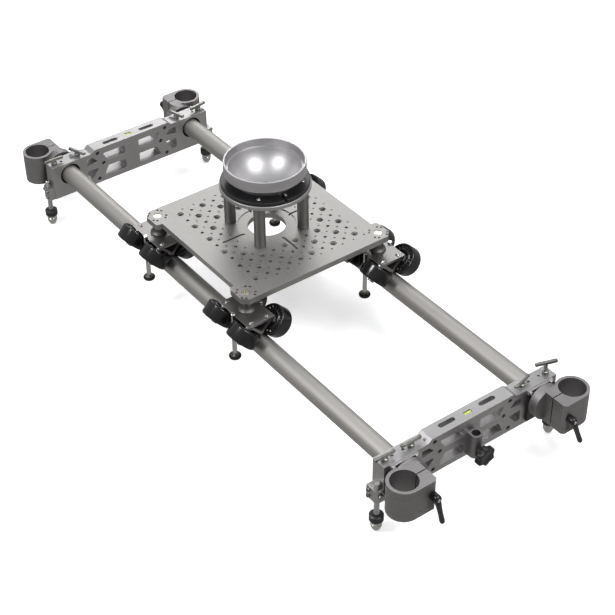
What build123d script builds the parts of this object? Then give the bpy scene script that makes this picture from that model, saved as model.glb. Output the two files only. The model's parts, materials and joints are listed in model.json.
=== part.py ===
from build123d import *
import math
import os

# Camera slider: two tubular rails between two machined end frames, a carriage on sixteen wheels
# with a levelling-bowl riser, four tube clamps, four levelling feet and two spigot receivers.
# Millimetres. Origin on the floor midway between the end frames; +X along the rails towards
# the near end, +Y to the right, +Z up.

# ---- overall and rails -------------------------------------------------------------------
frame_span = 1140.0        # outer face of one end frame to outer face of the other
rail_gauge = 304.8         # centre to centre of the rails
rail_axis_z = 119.2        # height of the rail axes above the floor
rail_od = 38.1
rail_wall = 2.1
rail_setback = 2.0         # rail end behind the frame's outer face

# ---- clearances --------------------------------------------------------------------------
running_gap = 0.05         # radial, shafts and pins that turn or slide
static_gap = 0.1           # radial, pieces held still
body_gap = 0.3             # between pieces that move past each other

# ---- end frames --------------------------------------------------------------------------
frame_thick = 30.0
frame_side_margin = 40.6   # frame beyond the rail axis, sideways
frame_below_axis = 49.0
frame_above_axis = 28.2
bridge_rise = 6.3          # raised middle of the frame's top edge
bridge_half = 91.3
bridge_slope = 9.0
pocket_gap = 4.4           # rail pocket wall beyond the rail
web_half = 17.0            # solid web in the middle of the frame
truss_node_y = 72.0        # the three bolt bosses of each lattice
truss_top_y = 84.5
truss_low_y = 85.5
truss_hole_r = 4.4
flange = 10.0              # solid edge above and below the windows
mid_rib = 15.0
window_corner_r = 2.0
slot_near = 27.0           # handle slots in the bridge, measured from the middle
slot_far = 63.0
slot_width = 10.0
vial_length = 15.0
vial_r = 3.4

# ---- rail clamp screws (T-bars) ----------------------------------------------------------
wing_offset = 28.0         # each side of the rail axis
wing_shank_r = 3.0
wing_depth = 26.0
wing_bar_length = 43.0
wing_bar_size = 6.5
wing_height = 13.0         # top of the T-bar above the frame's top edge
wing_rise = {("near_right", "outer"): 13.0}  # backed out by this much
wing_turns = {("near_right", "outer"): -19.0, ("near_right", "inner"): 15.0, ("far_left", "inner"): -68.0,
              ("far_right", "outer"): 10.0, ("far_right", "inner"): -75.0}

# ---- stop bars, pads and rosettes on the outer faces -------------------------------------
stop_bar_half = 29.0
stop_bar_height = 8.0
stop_bar_thick = 5.0
stop_screw_offset = 24.5
stop_screw_head_r = 3.9
pad_thick = 6.0
pad_in = 28.0              # pad edge inboard of the rail axis
pad_out = 40.0
pad_corner_r = 14.0
rosette_hub_r = 18.5
rosette_r = 32.5
rosette_thick = 4.5
rosette_plug_length = 40.0
rosette_face_x = 14.0      # rosette's clamping face beyond the frame's outer face
pivot_pin_r = 8.0
pivot_pin_length = 22.0

# ---- tube clamps -------------------------------------------------------------------------
clamp_bore_r = 25.0
clamp_wall = 5.6
clamp_height = 65.0
clamp_bore_offset = 35.0   # bore axis outboard of the pivot axis
clamp_jaw_end = 10.4       # jaw reaches this far inboard of the pivot axis
clamp_jaw_inner = 22.0     # jaw's inner side from the bore axis
clamp_disc_thick = 12.5
clamp_slit = 2.5
clamp_groove_width = 1.2
clamp_groove_depth = 1.0
clamp_groove_top = 14.5    # below the top face
clamp_groove_low = 12.0    # above the bottom face
lever_stud_r = 4.0
lever_hub_r = 8.0
lever_hub_length = 19.0
lever_arm_length = 62.0
lever_stud_z = 3.0         # stud above the pivot axis
lever_tilt = {"near_left": 13.0, "near_right": 22.0, "far_left": -12.0, "far_right": 16.0}

# ---- spigot receivers and star knobs -----------------------------------------------------
receiver_r = 11.5
receiver_reach = 9.5       # receiver axis beyond the frame's outer face
receiver_low = 45.0        # below the rail axis
receiver_high = 4.8
spigot_bore_r = 8.05
knob_z = 30.0              # knob axis below the rail axis
knob_stem_r = 4.0
knob_r = 20.0
knob_lobes = 6
knob_thick = 14.0
knob_neck_r = 10.0
knob_neck_length = 6.0

# ---- levelling feet ----------------------------------------------------------------------
foot_rod_r = 5.0
foot_side_gap = 6.0        # rod axis outboard of the frame's end face
foot_out_x = 5.6           # rod axis outboard of the middle of the frame's thickness
foot_tip_r = 10.3
foot_tip_height = 22.0
foot_flat_r = 4.0
grip_r = 13.0
grip_height = 16.0
grip_chamfer = 2.5
rod_top = 109.0
bracket_inner = 19.0       # bracket's side towards the carriage, from the rod axis
bracket_outer = 9.4        # bracket's side away from the carriage
bracket_reach = 14.0       # bracket beyond the frame's end face
bracket_height = 27.0
bracket_corner_r = 8.5
bracket_screw_r = 2.6
bracket_screw_head_r = 3.9
bracket_screw_x = -11.8    # both screws, from the rod axis
bracket_screw_rises = (7.0, 20.0)  # above the bracket's underside
thumb_r = 6.0
thumb_stem_r = 2.0

# ---- carriage plate ----------------------------------------------------------------------
carriage_x = -32.0         # where the carriage stands along the rails
plate_length = 343.5
plate_width = 318.0
plate_thick = 12.0
plate_top = 211.5
ear_length = 50.0
ear_overhang = 18.6        # ear beyond the rail axis, sideways
ear_corner = 12.0
opening_r = 37.0
recess_r = 57.0
recess_depth = 1.5
cable_slot_length = 50.0
cable_slot_width = 4.5
hole_pitch = 25.4
hole_rows = 10
hole_columns = 13
coarse_hole_r = 4.4
coarse_sink_r = 6.6
coarse_sink_depth = 2.5
fine_hole_r = 3.3
pilot_hole_r = 1.9
hole_field_inner = 76.0
hole_field_half_x = 146.0
hole_field_half_y = 130.0
ear_hole_pcd = 35.0
ear_hole_spread = 13.0
ear_hole_r = 2.4

# ---- trucks and wheels -------------------------------------------------------------------
truck_spacing = 301.0      # truck centre to truck centre along the rails
truck_length = 94.0
truck_half_top = 29.5
truck_wall = 5.0
truck_apex_gap = 4.75      # above the rail
pivot_boss_r = 13.0
pivot_spigot_r = 8.0
pivot_spigot_recess = 1.0
wheel_contact_r = 30.0
wheel_width = 28.0
wheel_pitch = 78.0         # wheel to wheel along the rail
wheel_edge_r = 2.5
axle_r = 4.0
axle_head_r = 6.5
axle_head = 5.0
axle_tail = 27.5           # axle end beyond the middle of the wheel
bearing_r = 11.0
bearing_width = 7.0
bearing_shoulder_r = 8.2
keeper_offset = 30.0       # post axis from the rail axis, sideways
keeper_r = 4.5
keeper_disc_r = 11.7
keeper_disc_height = 7.0
keeper_disc_low = 46.2     # below the rail axis
keeper_top = 4.0           # above the truck's top

# ---- riser and bowl ----------------------------------------------------------------------
riser_post_r = 11.0
riser_post_height = 90.0
riser_post_pcd = 141.4
ring_r = 87.3
ring_thick = 8.5
clamp_ring_r = 85.0
clamp_ring_thick = 7.0
clamp_ring_slot = 5.0
clamp_ring_slot_angle = -8.0
bowl_sphere_r = 75.0
bowl_rim_r = 78.3
bowl_rim_height = 22.0
bowl_lip_r = 74.3
bowl_lip_depth = 15.5
bowl_seat_r = 69.0
bowl_neck_r = 60.0
bowl_hole_r = 16.0
bowl_floor = 6.0
bowl_stand = 40.0          # rim above the clamp ring

# ---- worked out --------------------------------------------------------------------------
rail_r = rail_od / 2
rail_y = rail_gauge / 2
frame_out_x = frame_span / 2
frame_in_x = frame_out_x - frame_thick
frame_mid_x = frame_out_x - frame_thick / 2
frame_half = rail_y + frame_side_margin
frame_low = rail_axis_z - frame_below_axis
frame_top = rail_axis_z + frame_above_axis
bridge_top = frame_top + bridge_rise
pocket_r = rail_r + pocket_gap
foot_y = frame_half + foot_side_gap
foot_x = frame_mid_x + foot_out_x
rosette_x = frame_out_x + rosette_face_x
clamp_r = clamp_bore_r + clamp_wall
clamp_x = rosette_x + body_gap + clamp_r
clamp_face_x = clamp_x + clamp_r
clamp_y = rail_y + clamp_bore_offset
lever_x = clamp_face_x + body_gap
receiver_x = frame_out_x + receiver_reach
plate_low = plate_top - plate_thick
wheel_r = wheel_contact_r - body_gap
wheel_rise = (rail_r + wheel_contact_r) / math.sqrt(2)
truck_apex = rail_axis_z + rail_r + truck_apex_gap
truck_top = truck_apex + truck_half_top
ring_low = plate_top + riser_post_height
ring_top = ring_low + ring_thick
clamp_ring_top = ring_top + clamp_ring_thick
bowl_rim_z = clamp_ring_top + bowl_stand

ENDS = {"near": 1, "far": -1}
SIDES = {"left": -1, "right": 1}


def cylinder_z(radius, x, y, low, high):
    """Upright cylinder between two heights."""
    return Pos(x, y, (low + high) / 2) * Cylinder(radius, high - low)


def cylinder_x(radius, y, z, start, end):
    """Cylinder along X between two places."""
    return Pos((start + end) / 2, y, z) * Rot(0, 90, 0) * Cylinder(radius, end - start)


def cylinder_y(radius, x, z, start, end):
    """Cylinder along Y between two places."""
    return Pos(x, (start + end) / 2, z) * Rot(90, 0, 0) * Cylinder(radius, end - start)


def block(x0, x1, y0, y1, z0, z1):
    """Box given by its faces."""
    return Pos((x0 + x1) / 2, (y0 + y1) / 2, (z0 + z1) / 2) * Box(x1 - x0, y1 - y0, z1 - z0)


def turned(points):
    """Solid of revolution about Z from (radius, height) points."""
    outline = Plane.XZ * make_face(Polyline(*points, close=True))
    return revolve(outline, Axis.Z)


def polygon_x(points, start, end, corner=0.0):
    """Prism along X from (y, z) points, with rounded corners."""
    face = make_face(Polyline(*points, close=True))
    if corner > 0:
        face = fillet(face.vertices(), corner)
    return extrude(Plane.YZ.offset(start) * face, amount=end - start)


def place(shape, end, side):
    """Copy a near-right shape to the given end and side by mirroring."""
    if end < 0:
        shape = mirror(shape, about=Plane.YZ)
    if side < 0:
        shape = mirror(shape, about=Plane.XZ)
    return shape


def four(shape):
    """The near-right shape and its mirror copies at the other three corners."""
    return [place(shape, end, side) for end in ENDS.values() for side in SIDES.values()]


def save(name, shapes):
    """Write one node, a single solid or a group of separate solids."""
    solids = [s for shape in shapes for s in shape.solids()]
    shape = solids[0] if len(solids) == 1 else Compound(children=solids)
    export_step(shape, f"parts/{name}.step")


# ---- rails and end frames ----------------------------------------------------------------
def rail():
    """Drawn tube between the two frames."""
    reach = frame_out_x - rail_setback
    tube = cylinder_x(rail_r, 0, rail_axis_z, -reach, reach)
    return tube - cylinder_x(rail_r - rail_wall, 0, rail_axis_z, -reach - 1, reach + 1)


def frame_windows():
    """Lattice openings of one half of an end frame, as (y, z) outlines."""
    low = frame_low + flange + 2
    high = frame_top - flange + 1
    rib_low = rail_axis_z - mid_rib
    rib_high = rail_axis_z
    outer = rail_y - pocket_r - 17
    upper_inner = [(web_half, rib_high), (truss_node_y - 11, rib_high), (truss_node_y, high), (web_half, high)]
    lower_inner = [(web_half, low), (truss_node_y, low), (truss_node_y - 11, rib_low), (web_half, rib_low)]
    upper_outer = [(truss_top_y, rib_high + 5), (truss_top_y + 12, high - 2), (outer, high - 2), (outer, rib_high + 1)]
    lower_outer = [(truss_top_y - 1, rib_low + 3), (outer, rib_low + 4), (outer, low + 2), (outer - 10, low + 2)]
    return [upper_inner, lower_inner, upper_outer, lower_outer]


def bridge_slot():
    """Obround slot through the frame's top flange."""
    low = frame_top - flange
    ends = [cylinder_z(slot_width / 2, frame_mid_x - 2, y, low, bridge_top + 1)
            for y in (slot_near + slot_width / 2, slot_far - slot_width / 2)]
    middle = block(frame_mid_x - 2 - slot_width / 2, frame_mid_x - 2 + slot_width / 2,
                   slot_near + slot_width / 2, slot_far - slot_width / 2, low, bridge_top + 1)
    return ends + [middle]


def end_frame():
    """Near end frame: milled plate with lattice windows, rail pockets and screw holes."""
    half = [(0, bridge_top), (bridge_half, bridge_top), (bridge_half + bridge_slope, frame_top),
            (frame_half, frame_top), (frame_half, frame_low), (0, frame_low)]
    outline = half + [(-y, z) for y, z in reversed(half[1:-1])]
    body = polygon_x(outline, frame_in_x, frame_out_x)
    cuts = []
    for points in frame_windows():
        cuts.append(polygon_x(points, frame_in_x - 1, frame_out_x + 1, window_corner_r))
    for y, z in ((truss_top_y, frame_top - 4), (truss_node_y, rail_axis_z - 4), (truss_low_y, frame_low + 10)):
        cuts.append(cylinder_x(truss_hole_r, y, z, frame_in_x - 1, frame_out_x + 1))
    cuts.append(cylinder_x(pocket_r, rail_y, rail_axis_z, frame_in_x - 1, frame_out_x + 1))
    cuts += bridge_slot()
    for offset in (-wing_offset, wing_offset):
        cuts.append(cylinder_z(wing_shank_r + running_gap, frame_mid_x, rail_y + offset,
                               frame_top - wing_depth - 2, frame_top + 1))
    for offset in (-12, 12):
        cuts.append(cylinder_z(3.2, frame_mid_x - 1, rail_y + offset, frame_top - 4, frame_top + 1))
    for offset in (-stop_screw_offset, stop_screw_offset):
        cuts.append(cylinder_x(2.5 + static_gap, rail_y + offset, stop_bar_z(), frame_out_x - 9, frame_out_x + 1))
    for z in bracket_screw_heights():
        cuts.append(cylinder_y(bracket_screw_r + static_gap, foot_x + bracket_screw_x, z,
                               frame_half - 9, frame_half + 1))
    body -= cuts
    body -= [mirror(cut, about=Plane.XZ) for cut in cuts]
    return body - vial_pocket()


def stop_bar_z():
    """Height of the stop bar's middle."""
    return frame_top - 1 - stop_bar_height / 2


def bracket_screw_heights():
    """Heights of the two screws that hold a foot bracket."""
    return [frame_low + rise for rise in bracket_screw_rises]


def vial_pocket():
    """Trough in the bridge for the level vial."""
    length = vial_length + 1
    return block(frame_mid_x - vial_r - 0.6, frame_mid_x + vial_r + 0.6, -length / 2, length / 2,
                 bridge_top - 2 * vial_r - 0.4, bridge_top + 1)


def vial():
    """Level vial lying across the slider."""
    return cylinder_y(vial_r, frame_mid_x, bridge_top - vial_r - 0.3, -vial_length / 2, vial_length / 2)


def rail_jaws():
    """Two curved jaws that fill part of the gap between rail and pocket."""
    outer = cylinder_x(pocket_r - static_gap, 0, rail_axis_z, frame_in_x + 2, frame_out_x - 3)
    ring = outer - cylinder_x(rail_r + static_gap, 0, rail_axis_z, frame_in_x, frame_out_x)
    jaws = []
    for turn in (135, 315):
        wedge = [(0, 0)] + [(2 * pocket_r * math.cos(math.radians(turn + a)),
                             2 * pocket_r * math.sin(math.radians(turn + a))) for a in (-48, 0, 48)]
        cutter = polygon_x([(y, rail_axis_z + z) for y, z in wedge], frame_in_x, frame_out_x)
        jaws.append(ring & cutter)
    return jaws


def all_rail_jaws():
    """Jaws of the four rail ends, all opening the same way."""
    out = []
    for end in ENDS.values():
        for side in SIDES.values():
            for jaw in rail_jaws():
                out.append(Pos(0, side * rail_y, 0) * place(jaw, end, 1))
    return out


def wing_screw(turn, rise):
    """T-bar screw above the origin of the frame's top edge."""
    bar_high = wing_height + rise
    bar_low = bar_high - wing_bar_size
    shank = cylinder_z(wing_shank_r, 0, 0, -wing_depth, 2)
    collar = turned([(0, 1.2), (5.6, 1.2), (6.2, 2), (6.2, 4.8), (5.4, 5.8), (3.6, 6.2), (3.4, bar_low + 1), (0, bar_low + 1)])
    bar = block(-wing_bar_size / 2, wing_bar_size / 2, -wing_bar_length / 2, wing_bar_length / 2, bar_low, bar_high)
    bar = fillet(bar.edges().filter_by(Axis.Y), 1.6)
    bar = chamfer(bar.edges().group_by(Axis.Y)[0] + bar.edges().group_by(Axis.Y)[-1], 0.7)
    return Rot(0, 0, turn) * (shank + collar + bar)


def stop_bar():
    """Bar across the top of a rail pocket, on the frame's outer face."""
    z = stop_bar_z()
    bar = block(frame_out_x, frame_out_x + stop_bar_thick, rail_y - stop_bar_half, rail_y + stop_bar_half,
                z - stop_bar_height / 2, z + stop_bar_height / 2)
    bar = chamfer(bar.faces().sort_by(Axis.X)[-1].edges(), 1)
    for offset in (-stop_screw_offset, stop_screw_offset):
        bar -= cylinder_x(2.5 + static_gap, rail_y + offset, z, frame_out_x - 1, frame_out_x + stop_bar_thick + 1)
    return bar


def frame_screws():
    """Screws of one corner: two in the stop bar, two in the foot bracket, one thumb screw."""
    screws = []
    face = frame_out_x + stop_bar_thick
    for offset in (-stop_screw_offset, stop_screw_offset):
        head = cylinder_x(stop_screw_head_r, rail_y + offset, stop_bar_z(), face, face + 4)
        screws.append(head + cylinder_x(2.5, rail_y + offset, stop_bar_z(), frame_out_x - 8, face + 1))
    face = frame_half + bracket_reach
    x = foot_x + bracket_screw_x
    for z in bracket_screw_heights():
        head = cylinder_y(bracket_screw_head_r, x, z, face, face + 4)
        screws.append(head + cylinder_y(bracket_screw_r, x, z, frame_half - 8, face + 1))
    z = frame_low + bracket_height / 2
    face = foot_x + bracket_outer
    thumb = cylinder_x(thumb_r, foot_y, z, face + body_gap, face + 5)
    screws.append(thumb + cylinder_x(thumb_stem_r, foot_y, z, foot_x + foot_rod_r + body_gap, face + 1))
    return screws


def clamp_pad():
    """Black pad between the frame's outer face and the rosette."""
    top = stop_bar_z() - stop_bar_height / 2 - body_gap
    low = rail_axis_z - 42
    points = [(rail_y - pad_in, low), (rail_y + pad_out, low), (rail_y + pad_out, top), (rail_y - pad_in, top)]
    pad = polygon_x(points, frame_out_x, frame_out_x + pad_thick)
    pad = fillet(pad.edges().filter_by(Axis.X).group_by(Axis.Y)[-1], pad_corner_r)
    return pad - cylinder_x(rosette_hub_r + static_gap, rail_y, rail_axis_z, frame_out_x - 1, frame_out_x + pad_thick + 1)


def rosette():
    """Rosette flange on a plug that fills the end of the rail, with the bore for the pivot pin."""
    plug_end = frame_out_x - rail_setback
    body = cylinder_x(rosette_r, rail_y, rail_axis_z, rosette_x - rosette_thick, rosette_x)
    body += cylinder_x(rosette_hub_r, rail_y, rail_axis_z, plug_end, rosette_x - 1)
    body += cylinder_x(rail_r - rail_wall - static_gap, rail_y, rail_axis_z, plug_end - rosette_plug_length, plug_end + 1)
    bore_end = rosette_x - pivot_pin_length - 2
    return body - cylinder_x(pivot_pin_r + running_gap, rail_y, rail_axis_z, bore_end, rosette_x + 1)


# ---- tube clamps, levers, receivers and knobs ----------------------------------------------
def tube_clamp():
    """Split clamp for an upright tube, with its pivot disc and pin."""
    low = rail_axis_z - clamp_height / 2
    high = rail_axis_z + clamp_height / 2
    jaw_y = rail_y - clamp_jaw_end
    jaw = [(clamp_face_x, clamp_y), (clamp_face_x, jaw_y + 5), (clamp_face_x - 5, jaw_y),
           (clamp_x - clamp_jaw_inner, jaw_y), (clamp_x - clamp_jaw_inner, jaw_y + 22), (clamp_x - clamp_r, clamp_y)]
    plan = make_face(Polyline(*jaw, close=True)) + Pos(clamp_x, clamp_y) * Circle(clamp_r)
    shrunk = offset(plan, -clamp_groove_depth)
    body = extrude(Pos(0, 0, low) * plan, amount=clamp_height)
    for z in (high - clamp_groove_top, low + clamp_groove_low):
        groove = extrude(Pos(0, 0, z) * (offset(plan, 2) - shrunk), amount=clamp_groove_width)
        body -= groove
    face = rosette_x + body_gap
    body += cylinder_x(rosette_r, rail_y, rail_axis_z, face, face + clamp_disc_thick)
    body -= cylinder_z(clamp_bore_r, clamp_x, clamp_y, low - 1, high + 1)
    body -= block(clamp_x - clamp_slit / 2, clamp_x + clamp_slit / 2, jaw_y - 12, clamp_y - clamp_bore_r + 2,
                  low - 1, high + 1)
    stud_z = rail_axis_z + lever_stud_z
    body -= cylinder_x(lever_stud_r + running_gap, rail_y, stud_z, face + 6, clamp_face_x + 1)
    return body + cylinder_x(pivot_pin_r, rail_y, rail_axis_z, rosette_x - pivot_pin_length, face + 1)


def clamp_lever(tilt):
    """Ratchet lever: stud, hub and a tapered arm that hangs down."""
    z = rail_axis_z + lever_stud_z
    stud_end = rosette_x + body_gap + 8
    stud = cylinder_x(lever_stud_r, rail_y, z, stud_end, lever_x + 1)
    hub = cylinder_x(lever_hub_r, rail_y, z, lever_x, lever_x + lever_hub_length)
    hub = chamfer(hub.edges(), 1)
    arm_x = lever_x + lever_hub_length - 7
    arm = Pos(arm_x, 0, -lever_arm_length / 2) * Cone(4.6, 6.4, lever_arm_length)
    arm += Pos(arm_x, 0, -lever_arm_length) * Sphere(4.6)
    arm = Pos(0, rail_y, z) * Rot(tilt, 0, 0) * arm
    return stud + hub + arm


def spigot_receiver():
    """Upright socket on the frame's outer face for a lighting spigot."""
    low = rail_axis_z - receiver_low
    high = rail_axis_z + receiver_high
    body = cylinder_z(receiver_r, receiver_x, 0, low, high)
    body += block(frame_out_x, receiver_x, -receiver_r, receiver_r, low, high)
    body -= cylinder_z(spigot_bore_r, receiver_x, 0, low - 1, high + 1)
    body -= block(frame_in_x, frame_out_x, -receiver_r, receiver_r, low - 1, high + 1)
    z = rail_axis_z - knob_z
    return body - cylinder_x(knob_stem_r + running_gap, 0, z, receiver_x, receiver_x + receiver_r + 1)


def star_knob():
    """Lobed knob whose screw locks the spigot."""
    z = rail_axis_z - knob_z
    start = receiver_x + receiver_r + body_gap
    stem = cylinder_x(knob_stem_r, 0, z, receiver_x + spigot_bore_r + 1.2, start + 1)
    neck = cylinder_x(knob_neck_r, 0, z, start, start + knob_neck_length)
    plan = Circle(knob_r * 0.68)
    for i in range(knob_lobes):
        turn = math.radians(360 * i / knob_lobes + 90)
        plan += Pos(knob_r * 0.66 * math.cos(turn), knob_r * 0.66 * math.sin(turn)) * Circle(knob_r * 0.34)
    head = extrude(plan, amount=knob_thick)
    head = chamfer(head.edges().group_by(Axis.Z)[-1], 1.2)
    head = Plane(origin=(start + knob_neck_length, 0, z), x_dir=(0, 1, 0), z_dir=(1, 0, 0)) * head
    return stem + neck + head


# ---- levelling feet --------------------------------------------------------------------------
def foot_bracket():
    """Block on the frame's end face, flush with its underside, with the hole for the foot's rod."""
    y1 = frame_half + bracket_reach
    high = frame_low + bracket_height
    body = block(foot_x - bracket_inner, foot_x + bracket_outer, frame_half, y1, frame_low, high)
    outboard = body.edges().filter_by(Axis.Z).group_by(Axis.Y)[-1].sort_by(Axis.X)
    body = fillet(outboard[-1], bracket_corner_r)
    body -= cylinder_z(foot_rod_r + running_gap, foot_x, foot_y, frame_low - 1, high + 1)
    for z in bracket_screw_heights():
        body -= cylinder_y(bracket_screw_r + static_gap, foot_x + bracket_screw_x, z, frame_half - 1, y1 + 1)
    z = frame_low + bracket_height / 2
    return body - cylinder_x(thumb_stem_r + static_gap, foot_y, z, foot_x + foot_rod_r - 1, foot_x + bracket_outer + 1)


def levelling_foot():
    """Threaded rod with rounded tip, and knurled grip, as two solids."""
    grip_low = foot_tip_height
    grip_high = grip_low + grip_height
    rod = turned([(0, 0), (foot_flat_r, 0), (foot_tip_r * 0.78, 5), (foot_tip_r * 0.95, 10), (foot_tip_r, 15),
                  (foot_tip_r, grip_low), (foot_rod_r, grip_low), (foot_rod_r, rod_top - 1), (foot_rod_r - 1, rod_top),
                  (0, rod_top)])
    shoulder = grip_r - grip_chamfer
    grip = turned([(foot_rod_r, grip_low), (shoulder, grip_low), (grip_r, grip_low + grip_chamfer),
                   (grip_r, grip_high - grip_chamfer), (shoulder, grip_high), (foot_rod_r, grip_high)])
    return [Pos(foot_x, foot_y, 0) * piece for piece in (rod, grip)]


# ---- carriage ----------------------------------------------------------------------------------
def truck_places():
    """Centres of the four trucks."""
    return [(carriage_x + end * truck_spacing / 2, side * rail_y, end, side)
            for end in ENDS.values() for side in SIDES.values()]


def riser_post_places():
    """Feet of the four riser posts, in the carriage's own x and y."""
    reach = riser_post_pcd / 2
    return [(reach * math.cos(math.radians(a)), reach * math.sin(math.radians(a))) for a in (45, 135, 225, 315)]


def plate_holes():
    """Threaded hole grid: coarse and fine threads in turn, pilot holes between, as (x, y, radius)."""
    holes = []
    for i in range(-hole_columns, hole_columns + 1):
        for j in range(-hole_rows, hole_rows + 1):
            x, y = i * hole_pitch / 2, (j + 1) * hole_pitch / 2
            if (i + j) % 2:
                continue
            if abs(x) > hole_field_half_x or abs(y) > hole_field_half_y or math.hypot(x, y) < hole_field_inner:
                continue
            if min(math.hypot(x - px, y - py) for px, py in riser_post_places()) < riser_post_r + coarse_sink_r + 1:
                continue
            if min(abs(x), abs(y)) < coarse_sink_r and math.hypot(x, y) < opening_r + cable_slot_length + 25:
                continue
            column, row = round(abs(x) / hole_pitch), math.floor(abs(y) / hole_pitch)
            if i % 2:
                holes.append((x, y, pilot_hole_r))
            elif (column + row) % 2:
                holes.append((x, y, coarse_hole_r))
            else:
                holes.append((x, y, fine_hole_r))
    return holes


def ear_places():
    """Centres of the plate's ears, over the trucks."""
    return [(end * truck_spacing / 2, side * rail_y) for end in ENDS.values() for side in SIDES.values()]


def carriage_plate():
    """Carriage plate with ears over the rails, centre opening, hole grid and cable slots."""
    ear_half = rail_y + ear_overhang
    hx, hy = plate_length / 2, plate_width / 2
    plan = Rectangle(plate_length, plate_width)
    plan += Rectangle(plate_length, 2 * ear_half) - Rectangle(plate_length - 2 * ear_length, 2 * ear_half + 2)
    outer = plan.vertices().filter_by(lambda v: abs(v.Y) > hy + 1)
    plan = chamfer(outer.filter_by(lambda v: abs(v.X) > hx - 1), ear_corner)
    inner = plan.vertices().filter_by(lambda v: abs(v.Y) > hy + 1 and abs(v.X) < hx - ear_length + 1)
    plan = fillet(inner, 8)
    plan -= Circle(opening_r)
    for x, y, radius in plate_holes():
        plan -= Pos(x, y) * Circle(radius)
    for x, y in ear_places():
        plan -= Pos(x, y) * Circle(pivot_spigot_r + static_gap)
        for turn in (45, 135, 225, 315):
            for spread in (-ear_hole_spread, ear_hole_spread):
                reach, angle = ear_hole_pcd / 2, math.radians(turn + spread)
                plan -= Pos(x + reach * math.cos(angle), y + reach * math.sin(angle)) * Circle(ear_hole_r)
    plate = extrude(Pos(carriage_x, 0, plate_low) * plan, amount=plate_thick)
    cuts = [cylinder_z(recess_r, carriage_x, 0, plate_top - recess_depth, plate_top + 1)]
    start = recess_r - 6
    for turn in (0, 90, 180, 270):
        slot = block(start, start + cable_slot_length, -cable_slot_width / 2, cable_slot_width / 2,
                     plate_low - 1, plate_top + 1)
        cuts.append(Pos(carriage_x, 0, 0) * Rot(0, 0, turn) * slot)
    for x, y, radius in plate_holes():
        if radius == coarse_hole_r:
            cuts.append(cylinder_z(coarse_sink_r, carriage_x + x, y, plate_top - coarse_sink_depth, plate_top + 1))
    return plate - cuts


def truck_bracket():
    """Extruded V-section bracket of one truck, above a rail centred on the origin's X axis."""
    rim = truck_wall * math.sqrt(2)
    outer = [(0, truck_apex), (truck_half_top, truck_top), (-truck_half_top, truck_top)]
    void_half = truck_half_top - rim - truck_wall
    inner = [(0, truck_apex + rim), (void_half, truck_top - truck_wall), (-void_half, truck_top - truck_wall)]
    half = truck_length / 2
    body = polygon_x(outer, -half, half) - polygon_x(inner, -half - 1, half + 1)
    for side in SIDES.values():
        for end in ENDS.values():
            body -= on_axle(end, side, Cylinder(axle_r + static_gap, 2 * axle_tail + 2))
        body -= cylinder_z(keeper_r + static_gap, 0, side * keeper_offset, truck_apex, truck_top + 1)
    return body


def on_axle(end, side, shape):
    """Carry a shape drawn along Z onto a wheel's axle, +Z pointing away from the bracket."""
    centre = (end * wheel_pitch / 2, side * wheel_rise, rail_axis_z + wheel_rise)
    return Plane(origin=centre, x_dir=(1, 0, 0), z_dir=(0, side, -1)) * shape


def wheel():
    """Moulded wheel with a bearing seat and dished faces, about Z."""
    h = wheel_width / 2
    bore = bearing_r + running_gap
    points = [(bore, -h + 2), (bore, h - 2), (14, h - 2), (16, h), (18, h), (20, h - 3), (25, h - 3), (26, h)]
    points += [(wheel_r - wheel_edge_r, h), (wheel_r, h - wheel_edge_r)]
    outline = points + [(r, -z) for r, z in reversed(points[2:])]
    return turned(outline)


def axle():
    """Shoulder bolt of one wheel: head, shoulder and threaded tail, about Z."""
    h = wheel_width / 2
    gap_end = (truck_apex - rail_axis_z) / math.sqrt(2)
    head = Pos(0, 0, h + axle_head / 2) * Cylinder(axle_head_r, axle_head)
    shank = Pos(0, 0, (h + 1 - axle_tail) / 2) * Cylinder(axle_r, h + 1 + axle_tail)
    inner = bearing_width + static_gap
    spacer = Pos(0, 0, -(gap_end + inner) / 2) * Cylinder(axle_head_r, gap_end - inner)
    return chamfer(head.edges(), 0.8) + shank + spacer


def bearings():
    """Pair of ball bearings on one axle, about Z."""
    ring = Cylinder(bearing_r, bearing_width) - Cylinder(axle_r + static_gap, bearing_width)
    return [Pos(0, 0, bearing_width / 2) * ring, Pos(0, 0, -bearing_width / 2) * ring]


def keeper_post(side):
    """Post with a disc foot that catches under the rail if the carriage lifts."""
    low = rail_axis_z - keeper_disc_low
    post = cylinder_z(keeper_r, 0, side * keeper_offset, low, truck_top + keeper_top)
    disc = Pos(0, side * keeper_offset, 0) * turned([
        (0, low), (keeper_disc_r - 1, low), (keeper_disc_r, low + 1), (keeper_disc_r, low + keeper_disc_height - 1.5),
        (keeper_disc_r - 1.5, low + keeper_disc_height), (0, low + keeper_disc_height)])
    return post + disc


def truck_pivot():
    """Turned boss between bracket and plate, with a spigot up through the ear."""
    boss = turned([(0, truck_top), (pivot_boss_r + 3, truck_top), (pivot_boss_r + 3, truck_top + 3),
                   (pivot_boss_r - 2, truck_top + 8), (pivot_boss_r - 2, plate_low - 7), (pivot_boss_r, plate_low - 4),
                   (pivot_boss_r, plate_low), (0, plate_low)])
    return boss + cylinder_z(pivot_spigot_r, 0, 0, plate_low - 1, plate_top - pivot_spigot_recess)


# ---- riser and bowl ------------------------------------------------------------------------------
def riser_posts():
    """Four turned columns between plate and ring."""
    posts = []
    for x, y in riser_post_places():
        post = cylinder_z(riser_post_r, carriage_x + x, y, plate_top, ring_low)
        posts.append(chamfer(post.edges(), 0.8))
    return posts


def riser_ring():
    """Flat ring on the riser posts."""
    ring = turned([(bowl_neck_r + static_gap, ring_low), (ring_r - 1, ring_low), (ring_r, ring_low + 1),
                   (ring_r, ring_top - 1), (ring_r - 1, ring_top), (bowl_neck_r + static_gap, ring_top)])
    return Pos(carriage_x, 0, 0) * ring


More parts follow.
